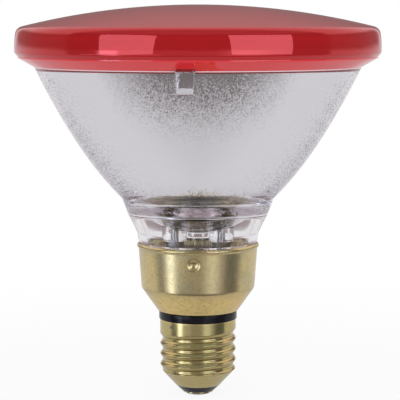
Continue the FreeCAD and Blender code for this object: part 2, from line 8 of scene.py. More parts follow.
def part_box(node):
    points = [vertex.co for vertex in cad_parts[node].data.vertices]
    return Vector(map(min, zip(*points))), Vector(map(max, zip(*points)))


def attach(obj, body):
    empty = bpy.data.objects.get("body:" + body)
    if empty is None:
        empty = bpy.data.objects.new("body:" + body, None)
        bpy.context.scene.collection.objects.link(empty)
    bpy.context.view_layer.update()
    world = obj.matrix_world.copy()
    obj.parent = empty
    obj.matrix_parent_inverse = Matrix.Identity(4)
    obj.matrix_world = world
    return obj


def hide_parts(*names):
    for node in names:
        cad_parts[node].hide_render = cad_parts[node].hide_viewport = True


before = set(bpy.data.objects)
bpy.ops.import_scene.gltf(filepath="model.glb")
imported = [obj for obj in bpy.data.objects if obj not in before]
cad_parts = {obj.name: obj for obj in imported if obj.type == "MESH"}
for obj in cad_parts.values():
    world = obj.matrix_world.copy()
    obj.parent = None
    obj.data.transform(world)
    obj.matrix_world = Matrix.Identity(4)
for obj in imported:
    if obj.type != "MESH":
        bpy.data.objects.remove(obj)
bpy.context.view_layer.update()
scene = bpy.context.scene
mm = 0.001
fullTurn = 2 * math.pi
print("frame loaded:", len(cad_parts), "nodes")


# A number or colour that travels along a link, so that plain arithmetic adds Math nodes.
class Wire:
    def __init__(self, graph, socket):
        self.graph = graph
        self.socket = socket

    def maths(self, operation, *others):
        values = dict(enumerate((self,) + others))
        return self.graph.add("ShaderNodeMath", {"operation": operation}, values)

    def __add__(self, other):
        return self.maths("ADD", other)

    def __radd__(self, other):
        return self.maths("ADD", other)

    def __sub__(self, other):
        return self.maths("SUBTRACT", other)

    def __rsub__(self, other):
        return self.graph.number(other).maths("SUBTRACT", self)

    def __mul__(self, other):
        return self.maths("MULTIPLY", other)

    def __rmul__(self, other):
        return self.maths("MULTIPLY", other)

    def __truediv__(self, other):
        return self.maths("DIVIDE", other)

    def __neg__(self):
        return self.maths("MULTIPLY", -1)

    def __gt__(self, other):
        return self.maths("GREATER_THAN", other)

    def power(self, other):
        return self.maths("POWER", other)

    def lowest(self, other):
        return self.maths("MINIMUM", other)

    def highest(self, other):
        return self.maths("MAXIMUM", other)

    def sine(self):
        return self.maths("SINE")

    def cosine(self):
        return self.maths("COSINE")

    def absolute(self):
        return self.maths("ABSOLUTE")

    def step(self, low, high, start=0.0, end=1.0):  # a smooth change between two values
        settings = {"interpolation_type": "SMOOTHSTEP"}
        values = {"Value": self, "From Min": low, "From Max": high, "To Min": start, "To Max": end}
        return self.graph.add("ShaderNodeMapRange", settings, values)

    def around(self, middle, half, start=0.0, end=1.0):  # the same change about a middle value
        return self.step(middle - half, middle + half, start, end)

    def patch(self, middle, core, edge, share=1.0):  # a share near one value, fading out on both sides
        return (self - middle).absolute().step(core, edge, share, 0.0)


# A node tree that is filled by one method.
class Graph:
    def __init__(self, tree):
        self.tree = tree

    def add(self, kind, settings=None, values=None, output=0):
        node = self.tree.nodes.new(kind)
        for name, setting in (settings or {}).items():
            setattr(node, name, setting)
        for name, value in (values or {}).items():
            if isinstance(value, Wire):
                self.tree.links.new(value.socket, node.inputs[name])
            else:
                node.inputs[name].default_value = value
        if node.outputs:
            return Wire(self, node.outputs[output])

    def number(self, value):
        return self.add("ShaderNodeMath", {"operation": "ADD"}, {0: value, 1: 0.0})

    def other(self, wire, name):  # another output of the node that a wire leaves
        return Wire(self, wire.socket.node.outputs[name])

    def vectors(self, operation, *terms):
        values = dict(enumerate(terms))
        return self.add("ShaderNodeVectorMath", {"operation": operation}, values)

    def parts(self, vector):
        x = self.add("ShaderNodeSeparateXYZ", None, {0: vector}, "X")
        return x, self.other(x, "Y"), self.other(x, "Z")

    def blend(self, factor, first, second):
        values = {"Factor": factor, 6: first, 7: second}
        return self.add("ShaderNodeMix", {"data_type": "RGBA"}, values, 2)


def rgb(*parts):
    return (*parts, 1.0)


# Materials

def newMaterial(name, same, build):
    # same holds what is equal all over, and build gives the wires of what changes
    material = bpy.data.materials.new(name)
    material.use_nodes = True
    material.node_tree.nodes.clear()
    graph = Graph(material.node_tree)
    shader = graph.add("ShaderNodeBsdfPrincipled", None, {**same, **build(graph)})
    graph.add("ShaderNodeOutputMaterial", None, {"Surface": shader})
    return material


def objectPoint(graph):
    return graph.add("ShaderNodeTexCoord", output="Object")


def noise(graph, point, scale, detail, squash=1.0, roughness=0.5):
    # squash above 1 flattens the pattern along the lamp's axis, below 1 it draws it out
    if squash != 1.0:
        point = graph.add("ShaderNodeMapping", None, {"Vector": point, "Scale": (1.0, 1.0, squash)})
    values = {"Vector": point, "Scale": scale, "Detail": detail, "Roughness": roughness}
    return graph.add("ShaderNodeTexNoise", None, values, "Fac")


def bump(graph, height, distance):
    return graph.add("ShaderNodeBump", None, {"Height": height, "Distance": distance}, "Normal")


# A pattern is the noise's scale, detail, squash and roughness. Heights are metres above the contact.
brassLook = {
    "bright": rgb(0.68, 0.56, 0.27),
    "olive": rgb(0.59, 0.52, 0.28), "olivePattern": (110.0, 2.0), "oliveEdges": (0.42, 0.62),
    "rosy": rgb(0.66, 0.50, 0.27), "rosyPattern": (66.0, 2.0, 0.35), "rosyEdges": (0.5, 0.68),
    "rosyShare": 0.7,
    # painted reflection: a deeper gold on the lower brass stands in for brass reflected in brass; the
    # metal is the same
    "goldReflection": rgb(0.94, 0.69, 0.24), "goldReflectionHeights": (0.034, 0.038), "goldReflectionShare": 0.6,
    "darkerCap": rgb(0.46, 0.40, 0.18), "darkerCapHeights": (0.0255, 0.0265), "darkerCapShare": 0.8, "darkerCapPolish": 0.09,
    "stained": rgb(0.40, 0.34, 0.16), "mottle": (700.0, 4.0, 1.0, 0.65), "stainEdges": (0.42, 0.68),
    "stainShare": 0.35,
    "roughness": 0.17, "uneven": 0.10,
    "grain": (900.0, 2.0, 0.3), "grainShare": 0.25, "wave": (160.0, 1.0), "bumpDepth": 0.00004,
    "rollingStep": 0.000907, "rollingStarts": 4.0, "rollingMarks": 1.0,
    "threadFoot": (0.0055, 0.0075), "threadTop": (0.0205, 0.0225),
}


def brassMaterial():
    look = brassLook

    def build(graph):
        point = objectPoint(graph)
        x, y, height = graph.parts(point)
        patches = noise(graph, point, *look["olivePattern"]).step(*look["oliveEdges"])
        colour = graph.blend(patches, look["bright"], look["olive"])
        tints = noise(graph, point, *look["rosyPattern"]).step(*look["rosyEdges"])
        colour = graph.blend(tints * look["rosyShare"], colour, look["rosy"])
        # painted reflection of brass in brass, as a deeper gold below 34 to 38 mm
        below = height.step(*look["goldReflectionHeights"], look["goldReflectionShare"], 0.0)
        colour = graph.blend(below, colour, look["goldReflection"])
        # the screw cap, below 25.5 to 26.5 mm, is darker and a little smoother than the brass above
        onCap = height.step(*look["darkerCapHeights"], look["darkerCapShare"], 0.0)
        colour = graph.blend(onCap, colour, look["darkerCap"])
        mottle = noise(graph, point, *look["mottle"])
        stains = mottle.step(*look["stainEdges"]) * look["stainShare"]
        colour = graph.blend(stains, colour, look["stained"])
        grain = noise(graph, point, *look["grain"])
        polish = height.step(*look["darkerCapHeights"], look["darkerCapPolish"], 0.0)
        rough = look["roughness"] + look["uneven"] * grain + look["uneven"] * mottle - polish
        turn = x.maths("ARCTAN2", -y) / fullTurn
        rolling = ((height / look["rollingStep"] - look["rollingStarts"] * turn) * fullTurn).sine()
        threaded = height.step(*look["threadFoot"]) * height.step(*look["threadTop"], 1.0, 0.0)
        wave = noise(graph, point, *look["wave"])
        relief = grain * look["grainShare"] + wave + rolling * threaded * look["rollingMarks"]
        return {"Base Color": colour, "Roughness": rough, "Normal": bump(graph, relief, look["bumpDepth"])}
    return newMaterial("brass", {"Metallic": 1.0}, build)


filmLook = {
    "facetScale": 3000.0, "lean": 0.06, "roughness": 0.07, "clouds": (160.0, 2.0),
    "tints": (rgb(0.96, 0.95, 0.965), rgb(0.94, 0.93, 0.945)),
}


def filmMaterial():
    # aluminium on stippled glass: small facets of random tilt, so it sparkles instead of mirroring
    look = filmLook

    def build(graph):
        point = objectPoint(graph)
        values = {"Vector": point, "Scale": look["facetScale"]}
        facets = graph.add("ShaderNodeTexVoronoi", {"feature": "F1"}, values, "Color")
        lean = graph.vectors("SUBTRACT", facets, (0.5, 0.5, 0.5))
        lean = graph.vectors("MULTIPLY", lean, (look["lean"],) * 3)
        level = graph.add("ShaderNodeNewGeometry", output="Normal")
        normal = graph.vectors("NORMALIZE", graph.vectors("ADD", level, lean))
        colour = graph.blend(noise(graph, point, *look["clouds"]), *look["tints"])
        return {"Base Color": colour, "Normal": normal}
    return newMaterial("aluminiumFilm", {"Metallic": 1.0, "Roughness": look["roughness"]}, build)


# The plainer finishes: two tints in clouds, how rough it is at least and how much more the clouds
# make it, and a slight swell of the surface with its depth in metres
cloudedLooks = {
    "clearGlass": {
        "same": {"Base Color": rgb(0.995, 1.0, 1.0), "Roughness": 0.01, "IOR": 1.48,
                 "Transmission Weight": 1.0},
        "swell": (90.0, 1.0), "swellDepth": 0.00006,
    },
    "rubyGlass": {
        "same": {"Roughness": 0.03, "IOR": 1.55, "Metallic": 0.22, "Transmission Weight": 0.4},
        "tints": (rgb(0.72, 0.020, 0.023), rgb(0.63, 0.014, 0.017)), "clouds": (26.0, 2.0, 3.0),
        "swell": (40.0, 1.0, 4.0), "swellDepth": 0.00010,
    },
    "redShowThroughSeam": {  # painted: the clear flange under the seam coloured with the lens's red, which shows through it by refraction and inner reflection
        "same": {"Roughness": 0.06, "IOR": 1.5},
        "tints": (rgb(0.76, 0.032, 0.036), rgb(0.66, 0.022, 0.026)), "clouds": (60.0, 2.0, 3.0),
        "swell": (60.0, 1.0, 4.0), "swellDepth": 0.00010,
    },
    "edgeHighlightSeam": {  # painted highlight: a pale line along the lit lower edge of the red band
        "same": {"Roughness": 0.15, "IOR": 1.5},
        "tints": (rgb(0.88, 0.66, 0.66), rgb(0.84, 0.50, 0.50)), "clouds": (90.0, 2.0),
    },
    "blackGlass": {
        "same": {"Roughness": 0.16, "IOR": 1.45, "Specular IOR Level": 0.22},
        "tints": (rgb(0.003, 0.003, 0.005), rgb(0.008, 0.008, 0.011)), "clouds": (240.0, 2.0),
        "swell": (240.0, 2.0), "swellDepth": 0.00008,
    },
    "solder": {
        "same": {"Metallic": 1.0},
        "tints": (rgb(0.33, 0.33, 0.34), rgb(0.22, 0.22, 0.23)), "clouds": (500.0, 3.0),
        "roughness": (0.24, 0.20), "swell": (500.0, 3.0), "swellDepth": 0.00015,
    },
    "leadMetal": {
        "same": {"Metallic": 1.0},
        "tints": (rgb(0.60, 0.58, 0.55), rgb(0.46, 0.43, 0.40)), "clouds": (2600.0, 2.0, 0.1),
        "roughness": (0.22, 0.15),
    },
    "tungsten": {
        "same": {"Metallic": 1.0},
        "tints": (rgb(0.20, 0.20, 0.21), rgb(0.33, 0.33, 0.35)), "clouds": (3000.0, 2.0),
        "roughness": (0.30, 0.15),
    },
}


def cloudedMaterial(name):
    look = cloudedLooks[name]

    def build(graph):
        point = objectPoint(graph)
        wires = {}
        if "clouds" in look:
            clouds = noise(graph, point, *look["clouds"])
            wires["Base Color"] = graph.blend(clouds, *look["tints"])
        if "roughness" in look:
            least, more = look["roughness"]
            wires["Roughness"] = least + more * clouds
        if "swell" in look:
            swell = noise(graph, point, *look["swell"])
            wires["Normal"] = bump(graph, swell, look["swellDepth"])
        return wires
    return newMaterial(name, look["same"], build)


brass = brassMaterial()
film = filmMaterial()
clearGlass = cloudedMaterial("clearGlass")
rubyGlass = cloudedMaterial("rubyGlass")
redShowThroughSeam = cloudedMaterial("redShowThroughSeam")
edgeHighlightSeam = cloudedMaterial("edgeHighlightSeam")
blackGlass = cloudedMaterial("blackGlass")
solder = cloudedMaterial("solder")
leadMetal = cloudedMaterial("leadMetal")
tungsten = cloudedMaterial("tungsten")
print("materials made")


# Turned and pressed shapes

def rounded(corners, steps=6):
    # a corner is its radius, height and rounding, which becomes a run of points on its arc
    points = []
    for number, (across, up, rounding) in enumerate(corners):
        corner = Vector((across, up))
        if rounding == 0:
            points.append(corner)
            continue
        before = Vector(corners[number - 1][:2]) - corner
        after = Vector(corners[(number + 1) % len(corners)][:2]) - corner
        halfTurn = (math.pi - before.angle(after)) / 2
        reach = rounding * math.tan(halfTurn)
        middle = (before.normalized() + after.normalized()).normalized()
        centre = corner + middle * (rounding / math.cos(halfTurn))
        first = corner + before.normalized() * reach - centre
        last = corner + after.normalized() * reach - centre
        turn = first.angle_signed(last)
        for step in range(steps + 1):
            angle = -turn * step / steps
            points.append(centre + Matrix.Rotation(angle, 2) @ first)
    return points


def between(start, end, steps):  # evenly spaced values, without the two ends
    return [start + (end - start) * step / steps for step in range(1, steps)]


def domeHeight(top, bend, radius):
    return top - bend + math.sqrt(bend ** 2 - radius ** 2)


def domeCorners(top, bend, start, end, steps):
    return [(radius, domeHeight(top, bend, radius), 0) for radius in between(start, end, steps)]


def meshFromShape(name, shape):
    mesh = bpy.data.meshes.new(name)
    shape.to_mesh(mesh)
    shape.free()
    return mesh


def latheMesh(name, outline, around, offset=None):
    # a closed section, in mm, turned about the axis; offset moves a point in or out
    shape = bmesh.new()
    rings = []
    for point in outline:
        if point.x < 1e-6:
            rings.append([shape.verts.new((0, 0, point.y * mm))])
            continue
        ring = []
        for number in range(around):
            azimuth = fullTurn * number / around
            radius = point.x + (offset(azimuth, point.x, point.y) if offset else 0)
            ring.append(shape.verts.new((radius * math.sin(azimuth) * mm,
                                         -radius * math.cos(azimuth) * mm, point.y * mm)))
        rings.append(ring)
    for ring, following in zip(rings, rings[1:] + rings[:1]):
        for number in range(around):
            corners = [ring[number % len(ring)], ring[(number + 1) % len(ring)],
                       following[(number + 1) % len(following)], following[number % len(following)]]
            corners = list(dict.fromkeys(corners))
            if len(corners) > 2:
                shape.faces.new(corners)
    bmesh.ops.recalc_face_normals(shape, faces=shape.faces)
    return meshFromShape(name, shape)


def addPiece(name, mesh, materials, node, sharpAngle=32.0):
    piece = bpy.data.objects.new(name, mesh)
    scene.collection.objects.link(piece)
    mesh.materials.clear()
    for material in materials:
        mesh.materials.append(material)
    mesh.shade_smooth()
    mesh.set_sharp_from_angle(angle=math.radians(sharpAngle))
    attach(piece, "root")
    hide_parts(node)


def nodeHeights(node):
    low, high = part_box(node)
    return low.z / mm, high.z / mm


seam, lensTop = nodeHeights("lens")
shellFoot, ringFoot = nodeHeights("screw_shell")
skirtFoot, skirtLip = nodeHeights("skirt")

# The sizes of the pieces are in mm
lensSize = {
    "seatGap": 0.01, "seatRadius": 57.0, "flangeRadius": 60.9, "rimRadius": 62.0, "rimChamfer": 1.3,
    "rimTopRadius": 61.3, "rimBow": 0.25, "bowShares": (0.2, 0.35, 0.5, 0.65), "rimRounding": 3.0,
    "rimFootRounding": 1.2, "domeBend": 245.0, "domeSteps": 16, "wall": 4.0, "innerRadius": 57.8,
    "innerRounding": 3.0, "innerSteps": 14, "around": 224,
}


def lensPiece():
    size = lensSize
    shoulder = domeHeight(lensTop, size["domeBend"], size["rimTopRadius"])
    innerTop = lensTop - size["wall"]
    innerBend = size["domeBend"] - size["wall"]
    cornerTop = domeHeight(innerTop, innerBend, size["innerRadius"])
    seat = seam + size["seatGap"]
    rimFoot = seam + size["rimChamfer"]
    rimWall = []
    for share in size["bowShares"]:
        straight = size["rimRadius"] + share * (size["rimTopRadius"] - size["rimRadius"])
        bow = size["rimBow"] * 4 * share * (1 - share)
        rimWall.append((straight + bow, rimFoot + share * (shoulder - rimFoot), 0))
    corners = [
        (size["seatRadius"], seat, 0),
        (size["flangeRadius"], seat, 0),
        (size["rimRadius"], rimFoot, size["rimFootRounding"]),
        *rimWall,
        (size["rimTopRadius"], shoulder, size["rimRounding"]),
        *domeCorners(lensTop, size["domeBend"], size["rimTopRadius"], 0, size["domeSteps"]),
        (0, lensTop, 0),
        (0, innerTop, 0),
        *domeCorners(innerTop, innerBend, 0, size["innerRadius"], size["innerSteps"]),
        (size["innerRadius"], cornerTop, size["innerRounding"]),
    ]
    mesh = latheMesh("redLens", rounded(corners), size["around"])
    addPiece("redLens", mesh, [rubyGlass], "lens")


# Rises are above the skirt's lip, and the seam's depth and the lug's drop below the seam
reflectorSize = {
    "focal": 13.4, "wall": 5.0, "vertexRise": 2.8, "bowlRadius": 55.4, "bowlEdgeRounding": 0.8,
    "bowlSteps": 16, "floorRadius": 5.0, "floorRounding": 0.6, "mirrorSteps": 26,
    "flangeRadius": 60.9, "flangeEdge": 0.4, "flangeRounding": 0.15,
    "seamDepth": 3.52, "seamRadius": 52.5, "highlightHalf": 0.28, "highlightInset": 1.0,
    "filmSlack": 0.25, "floorSlack": 0.2, "filmSlope": 0.05,
    "kneeRadius": 26.0, "kneeRounding": 0.8, "waistRise": 9.6, "waistRadius": 23.8,
    "neckRise": 3.7, "neckRadius": 20.9, "neckRounding": 5.0, "lipRoom": 0.5, "lipRadius": 20.35,
    "lipRounding": 0.3, "neckInSkirt": 19.9, "neckFoot": 40.2, "neckFootRadius": 19.17,
    "neckBore": 16.4, "boreRounding": 0.6,
    "grooveHeight": 47.3, "grooveHalf": 2.1, "grooveInset": 0.45, "grooveDepth": 1.0,
    "grooveRounding": 0.4,
    "cavityRise": 5.0, "hollowRadius": 19.0, "hollowRounding": 0.5, "hollowSteps": 12,
    "collarRise": 10.6, "collarRadius": 20.5, "collarRounding": 0.8,
    "collarNeckRadius": 18.0, "collarNeckRounding": 4.0, "collarLipRadius": 17.3, "collarLipRounding": 2.0,
    "ferruleOffset": 8.0, "bossRadius": 4.3, "bossHeight": 4.4, "bossRoot": 3.1, "bossRounding": 0.5,
    "spigotRadius": 3.0, "spigotHeight": 1.5, "spigotRounding": 0.3,
    "stemBossRadius": 3.4, "stemBossHeight": 1.4, "bossAround": 48, "stemAround": 40,
    "lugTop": 6.4, "lugFoot": 5.2, "lugRadius": 57.3, "lugHeight": 8.6, "lugDrop": 2.2, "lugRoot": 2.2,
    "lugRounding": 0.45, "around": 224,
}

reflectorFinishes = [clearGlass, film, redShowThroughSeam, edgeHighlightSeam]


def bowlHeight(vertex, radius):
    return vertex + radius ** 2 / (4 * reflectorSize["focal"])


def bowlReach(vertex, height):
    return math.sqrt(4 * reflectorSize["focal"] * (height - vertex))


def bowlCorners(vertex, start, end, steps):
    return [(radius, bowlHeight(vertex, radius), 0) for radius in between(start, end, steps)]


def mirrorFaces(mesh, vertex, floorHeight):
    # the inner wall and floor take the film, the band under the seam a painted red where the lens shows
    # through the clear flange, and its foot a painted highlight line
    size = reflectorSize
    filmed, redShowThrough, edgeHighlight = (reflectorFinishes.index(finish) for finish in (film, redShowThroughSeam, edgeHighlightSeam))
    bandFoot = seam - size["seamDepth"]
    for face in mesh.polygons:
        centre = face.center / mm
        radius = math.hypot(centre.x, centre.y)
        onBowl = abs(centre.z - bowlHeight(vertex, radius)) < size["filmSlack"]
        onFloor = (radius < size["floorRadius"] + size["floorSlack"]
                   and abs(centre.z - floorHeight) < size["floorSlack"])
        atFoot = abs(centre.z - bandFoot) < size["highlightHalf"]
        # painted highlight: the lit foot of the red band, as a pale line
        if atFoot and radius > size["bowlRadius"] - size["highlightInset"]:
            face.material_index = edgeHighlight
        # painted: the lens's red, as it shows through the clear flange band
        elif centre.z > bandFoot and radius > size["seamRadius"]:
            face.material_index = redShowThrough
        elif (onBowl or onFloor) and face.normal.z > size["filmSlope"]:
            face.material_index = filmed


def blockMesh(name, sections, rounding):
    # a block through rectangles (half width, near, far, height)
    shape = bmesh.new()
    rings = []
    for half, near, far, up in sections:
        ring = [(-half, near), (half, near), (half, far), (-half, far)]
        rings.append([shape.verts.new((x * mm, -y * mm, up * mm)) for x, y in ring])
    for ring, following in zip(rings, rings[1:]):
        for number in range(4):
            nextOne = (number + 1) % 4
            shape.faces.new([ring[number], ring[nextOne], following[nextOne], following[number]])
    shape.faces.new(rings[0])
    shape.faces.new(rings[-1])
    bmesh.ops.recalc_face_normals(shape, faces=shape.faces)
    bmesh.ops.bevel(shape, geom=list(shape.edges), offset=rounding * mm, segments=3, profile=0.5,
                    affect="EDGES")
    return meshFromShape(name, shape)


def joinSolids(target, tools):
    # one solid from a piece and the solids that grow out of it
    for mesh in tools:
        tool = bpy.data.objects.new("growth", mesh)
        scene.collection.objects.link(tool)
        union = target.modifiers.new("union", "BOOLEAN")
        union.operation = "UNION"
        union.solver = "EXACT"
        union.object = tool
        depsgraph = bpy.context.evaluated_depsgraph_get()
        joined = bpy.data.meshes.new_from_object(target.evaluated_get(depsgraph))
        target.modifiers.clear()
        target.data = joined
        bpy.data.objects.remove(tool)
    return target.data


def lugMesh(vertex):
    size = reflectorSize
    top = seam - size["lugDrop"]
    foot = top - size["lugHeight"]
    sections = []
    for height, width in ((foot, size["lugFoot"]), (top, size["lugTop"])):
        root = bowlReach(vertex, height) - size["lugRoot"]
        sections.append((width / 2, root, size["lugRadius"], height))
    return blockMesh("lug", sections, size["lugRounding"])


def bossMeshes(cavityTop):
    # the two bosses that carry the ferrules, and the one that the stem grows from
    size = reflectorSize
    root = cavityTop + size["bossRoot"]
    bossFoot = cavityTop - size["bossHeight"]
    spigotFoot = bossFoot - size["spigotHeight"]
    stemFoot = cavityTop - size["stemBossHeight"]
    outline = rounded([
        (0, spigotFoot, 0),
        (size["spigotRadius"], spigotFoot, size["spigotRounding"]),
        (size["spigotRadius"], bossFoot, 0),
        (size["bossRadius"], bossFoot, size["bossRounding"]),
        (size["bossRadius"], root, 0),
        (0, root, 0),
    ], steps=4)
    stemOutline = rounded([
        (0, stemFoot, 0),
        (size["stemBossRadius"], stemFoot, size["bossRounding"]),
        (size["stemBossRadius"], root, 0),
        (0, root, 0),
    ], steps=4)
    bosses = []
    for side in (-1, 1):
        boss = latheMesh("boss", outline, size["bossAround"])
        boss.transform(Matrix.Translation((side * size["ferruleOffset"] * mm, 0, 0)))
        bosses.append(boss)
    return bosses + [latheMesh("stemBoss", stemOutline, size["stemAround"])]


def reflectorPiece():
    size = reflectorSize
    vertex = skirtLip + size["vertexRise"]
    mirrorVertex = vertex + size["wall"]
    mirrorEdge = bowlReach(mirrorVertex, seam)
    mirrorFloor = bowlHeight(mirrorVertex, size["floorRadius"])
    cavityTop = skirtLip + size["cavityRise"]
    neckTop = skirtLip + size["neckRise"]
    grooveRadius = size["neckInSkirt"] - size["grooveInset"]
    grooveFloor = grooveRadius - size["grooveDepth"]
    groove, grooveHalf, grooveRounding = size["grooveHeight"], size["grooveHalf"], size["grooveRounding"]
    corners = [
        (0, cavityTop, 0),
        *bowlCorners(cavityTop, 0, size["hollowRadius"], size["hollowSteps"]),
        (size["hollowRadius"], bowlHeight(cavityTop, size["hollowRadius"]), size["hollowRounding"]),
        (size["collarRadius"], skirtLip + size["collarRise"], size["collarRounding"]),
        (size["collarNeckRadius"], neckTop, size["collarNeckRounding"]),
        (size["collarLipRadius"], skirtLip, size["collarLipRounding"]),
        (size["neckBore"], size["neckFoot"], size["boreRounding"]),
        (size["neckFootRadius"], size["neckFoot"], grooveRounding),
        (grooveRadius, groove - grooveHalf, grooveRounding),
        (grooveFloor, groove - grooveHalf / 2, grooveRounding),
        (grooveFloor, groove + grooveHalf / 2, grooveRounding),
        (grooveRadius, groove + grooveHalf, grooveRounding),
        (size["neckInSkirt"], skirtLip - skirtSize["beadHeight"], 0),
        (size["neckInSkirt"], skirtLip, 0),
        (size["lipRadius"], skirtLip + size["lipRoom"], size["lipRounding"]),
        (size["neckRadius"], neckTop, size["neckRounding"]),
        (size["waistRadius"], skirtLip + size["waistRise"], size["neckRounding"]),
        (size["kneeRadius"], bowlHeight(vertex, size["kneeRadius"]), size["kneeRounding"]),
        *bowlCorners(vertex, size["kneeRadius"], size["bowlRadius"], size["bowlSteps"]),
        (size["bowlRadius"], bowlHeight(vertex, size["bowlRadius"]), size["bowlEdgeRounding"]),
        (size["flangeRadius"], seam - size["flangeEdge"], size["flangeRounding"]),
        (size["flangeRadius"], seam, 0),
        (mirrorEdge, seam, 0),
        *bowlCorners(mirrorVertex, mirrorEdge, size["floorRadius"], size["mirrorSteps"]),
        (size["floorRadius"], mirrorFloor, size["floorRounding"]),
        (0, mirrorFloor, 0),
    ]
    blank = latheMesh("glassReflector", rounded(corners), size["around"])
    body = bpy.data.objects.new("reflectorBlank", blank)
    scene.collection.objects.link(body)
    mesh = joinSolids(body, [lugMesh(vertex), *bossMeshes(cavityTop)])
    bpy.data.objects.remove(body)
    mesh.name = "glassReflector"
    addPiece("glassReflector", mesh, reflectorFinishes, "reflector")
    mirrorFaces(mesh, mirrorVertex, mirrorFloor)


skirtSize = {
    "sheet": 0.35, "holeRadius": 11.4, "footRadius": 13.8, "footRounding": 0.5, "coneHeight": 8.0,
    "lowRadius": 19.4, "kneeRounding": 2.4, "kneeReach": 1.4, "wallHeight": 13.6, "wallSteps": 44,
    "topRadius": 20.35, "topRounding": 0.25, "beadHeight": 1.8, "beadRadius": 21.2,
    "beadRounding": 0.75, "beadSheets": 1.3, "beadInnerRounding": 0.5, "lipInset": 0.05,
    "lipRounding": 0.12, "dimpleRise": 10.1, "dimpleBall": 2.5, "dimpleDepth": 1.0, "dimpleCount": 3,
    "dimpleBlend": 0.12, "around": 300,
}


def skirtPiece():
    size = skirtSize
    sheet = size["sheet"]
    knee = skirtFoot + size["coneHeight"]
    top = knee + size["wallHeight"]
    dimpleHeight = knee + size["dimpleRise"]

    def wall(height):
        share = (height - knee) / size["wallHeight"]
        return size["lowRadius"] + share * (size["topRadius"] - size["lowRadius"])

    def dent(azimuth, radius, height):
        # a ball pressed into the wall, the same on both faces of the sheet
        ball, blend = size["dimpleBall"], size["dimpleBlend"]
        across = abs(height - dimpleHeight)
        if across > ball:
            return 0
        spacing = fullTurn / size["dimpleCount"]
        turn = (azimuth + spacing / 2) % spacing - spacing / 2
        reach = math.hypot(across, turn * radius)
        if reach >= ball:
            return 0
        depth = math.sqrt(ball ** 2 - reach ** 2) - ball + size["dimpleDepth"]
        return -blend * math.log(1 + math.exp(depth / blend))

    heights = between(knee + size["kneeReach"], top, size["wallSteps"])
    outerWall = [(wall(height), height, 0) for height in heights]
    innerWall = [(radius - sheet, height, 0) for radius, height, _ in reversed(outerWall)]
    beadMiddle = top + size["beadHeight"] / 2
    corners = [
        (size["holeRadius"], skirtFoot, 0),
        (size["footRadius"], skirtFoot, size["footRounding"]),
        (size["lowRadius"], knee, size["kneeRounding"]),
        *outerWall,
        (size["topRadius"], top, size["topRounding"]),
        (size["beadRadius"], beadMiddle, size["beadRounding"]),
        (size["topRadius"] - size["lipInset"], skirtLip, size["lipRounding"]),
        (size["topRadius"] - sheet, skirtLip, size["lipRounding"]),
        (size["beadRadius"] - size["beadSheets"] * sheet, beadMiddle, size["beadInnerRounding"]),
        (size["topRadius"] - sheet, top, size["topRounding"]),
        *innerWall,
        (size["lowRadius"] - sheet, knee, size["kneeRounding"]),
        (size["footRadius"] - sheet, skirtFoot + sheet, size["footRounding"]),
        (size["holeRadius"], skirtFoot + sheet, 0),
    ]
    mesh = latheMesh("brassSkirt", rounded(corners), size["around"], dent)
    addPiece("brassSkirt", mesh, [brass], "skirt", sharpAngle=60.0)


ringSize = {
    "height": 3.0, "radius": 13.4, "bore": 9.5, "spigot": 0.9, "spigotRadius": 12.75,
    "capRadius": 12.8, "capHeight": 1.4, "holeRadius": 11.4, "rounding": 0.35, "around": 128,
}


def ringPiece():
    size = ringSize
    ringTop = ringFoot + size["height"]
    capFoot = ringTop + skirtSize["sheet"]
    capTop = capFoot + size["capHeight"]
    corners = [
        (size["bore"], ringFoot - size["spigot"], 0),
        (size["spigotRadius"], ringFoot - size["spigot"], 0),
        (size["spigotRadius"], ringFoot, 0),
        (size["radius"], ringFoot, size["rounding"]),
        (size["radius"], ringTop, size["rounding"]),
        (size["holeRadius"], ringTop, 0),
        (size["holeRadius"], capFoot, 0),
        (size["capRadius"], capFoot, 0),
        (size["capRadius"], capTop, size["rounding"]),
        (size["bore"], capTop, size["rounding"]),
    ]
    mesh = latheMesh("blackRing", rounded(corners, steps=4), size["around"])
    addPiece("blackRing", mesh, [blackGlass], "insulating_ring")


tipSize = {
    "footRadius": 5.5, "exposed": 2.15, "fill": 4.2, "bore": 1.5, "shoulderRadius": 7.8,
    "sheet": 0.3, "coneHeight": 5.75, "shellRadius": 13.05, "rounding": 0.35, "around": 128,
}


def tipPiece():
    size = tipSize
    slope = (size["shellRadius"] - size["shoulderRadius"]) / size["coneHeight"]
    fillTop = shellFoot + size["fill"]
    corners = [
        (size["bore"], shellFoot - size["exposed"], 0),
        (size["footRadius"], shellFoot - size["exposed"], size["rounding"]),
        (size["shoulderRadius"], shellFoot, 0),
        (size["shoulderRadius"] - size["sheet"], shellFoot, 0),
        (size["shoulderRadius"] + slope * size["fill"] - size["sheet"], fillTop, 0),
        (size["bore"], fillTop, 0),
    ]
    mesh = latheMesh("blackTip", rounded(corners, steps=4), size["around"])
    addPiece("blackTip", mesh, [blackGlass], "tip_insulator")


contactSize = {
    "radius": 4.4, "height": 0.6, "rounding": 0.42, "flatShare": 0.5, "plugRadius": 0.7,
    "plugHeight": 0.5, "ripple": 0.07, "rippleWidth": 0.6, "around": 96,
    "rippleWaves": ((3, 0.7, 1.0), (5, 2.1, 0.6)),  # how many around, phase, weight
}


